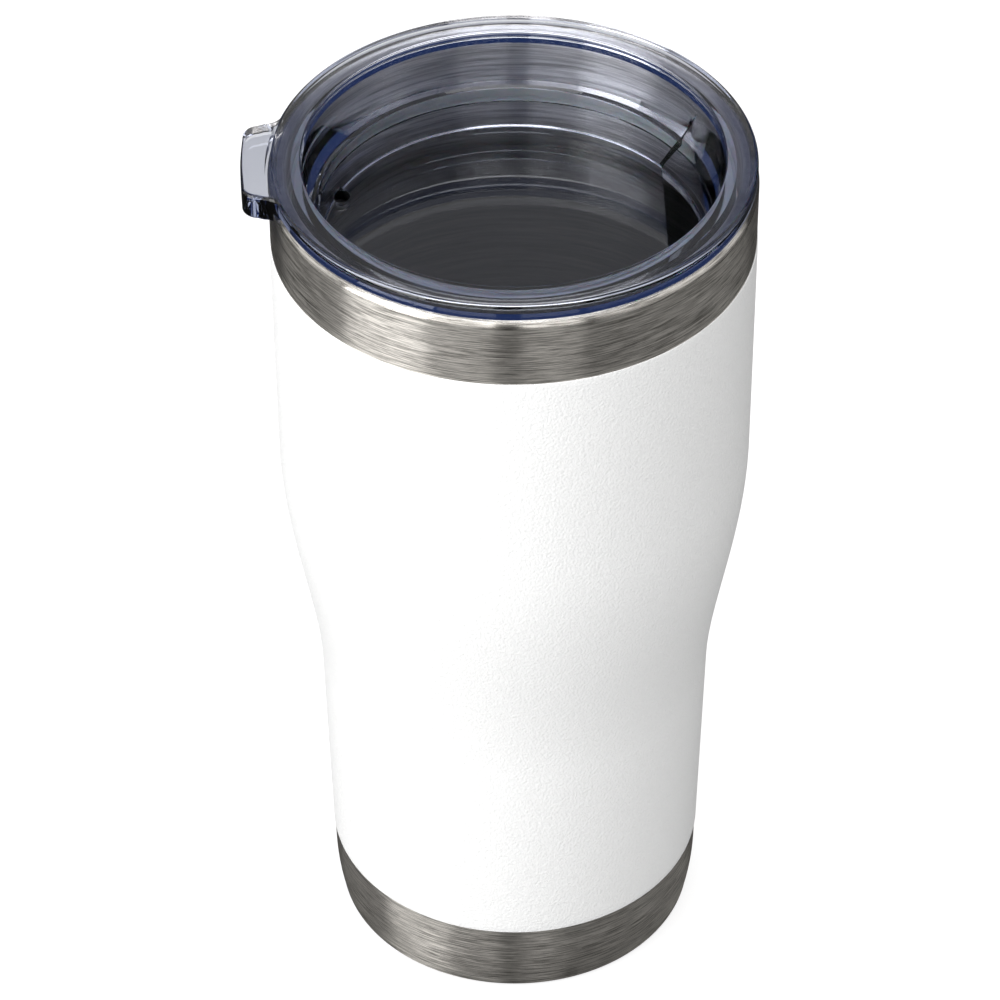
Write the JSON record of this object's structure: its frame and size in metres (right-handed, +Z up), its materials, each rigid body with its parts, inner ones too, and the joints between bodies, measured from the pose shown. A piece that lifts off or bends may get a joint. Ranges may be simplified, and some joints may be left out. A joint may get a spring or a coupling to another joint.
{
  "type": "insulated tumbler with lid",
  "caption": "Double-wall vacuum tumbler in white-coated steel with bare steel bands and a clear press-in lid with thumb tab, drinking opening and vent hole.",
  "frame": {"origin": "centre of the hem ring that the cup stands on", "axes": "+Z up along the cup's axis; the lid's thumb tab points to -X and its drinking opening to +X at rest"},
  "size_m": [0.0929, 0.0882, 0.1763],
  "materials": {
    "brushed_steel": "brushed round the circumference",
    "white_coat": "white polyester powder coat, satin with fine orange peel",
    "liner_steel": "satin, electropolished",
    "foil": "bright reflecting foil",
    "plain_steel": "as rolled",
    "base_steel": "turned rings",
    "solder_glass": "fused glass solder",
    "getter_metal": "sintered, dull",
    "clear_plastic": "clear copolyester with a faint blue tint",
    "silicone": "translucent white silicone"
  },
  "bodies": {
    "cup": {"outer_shell": "brushed_steel", "powder_coat": "white_coat", "inner_liner": "liner_steel", "liner_base": "liner_steel", "heat_foil": "foil", "outer_base": "plain_steel", "base_cover": "base_steel", "seal_glass": "solder_glass", "getter": "getter_metal", "getter_clip": "plain_steel"},
    "gasket": {"lid_gasket": "silicone"},
    "lid": {"lid_body": "clear_plastic"}
  },
  "joints": [
    {"name": "lid_lift", "type": "slide", "parent": "cup", "child": "gasket", "axis": [0, 0, 1], "range_m": [0, 0.05]},
    {"name": "lid_turn", "type": "hinge", "parent": "gasket", "child": "lid", "pos_m": [0, 0, 0.162], "axis": [0, 0, 1], "continuous": true}
  ]
}
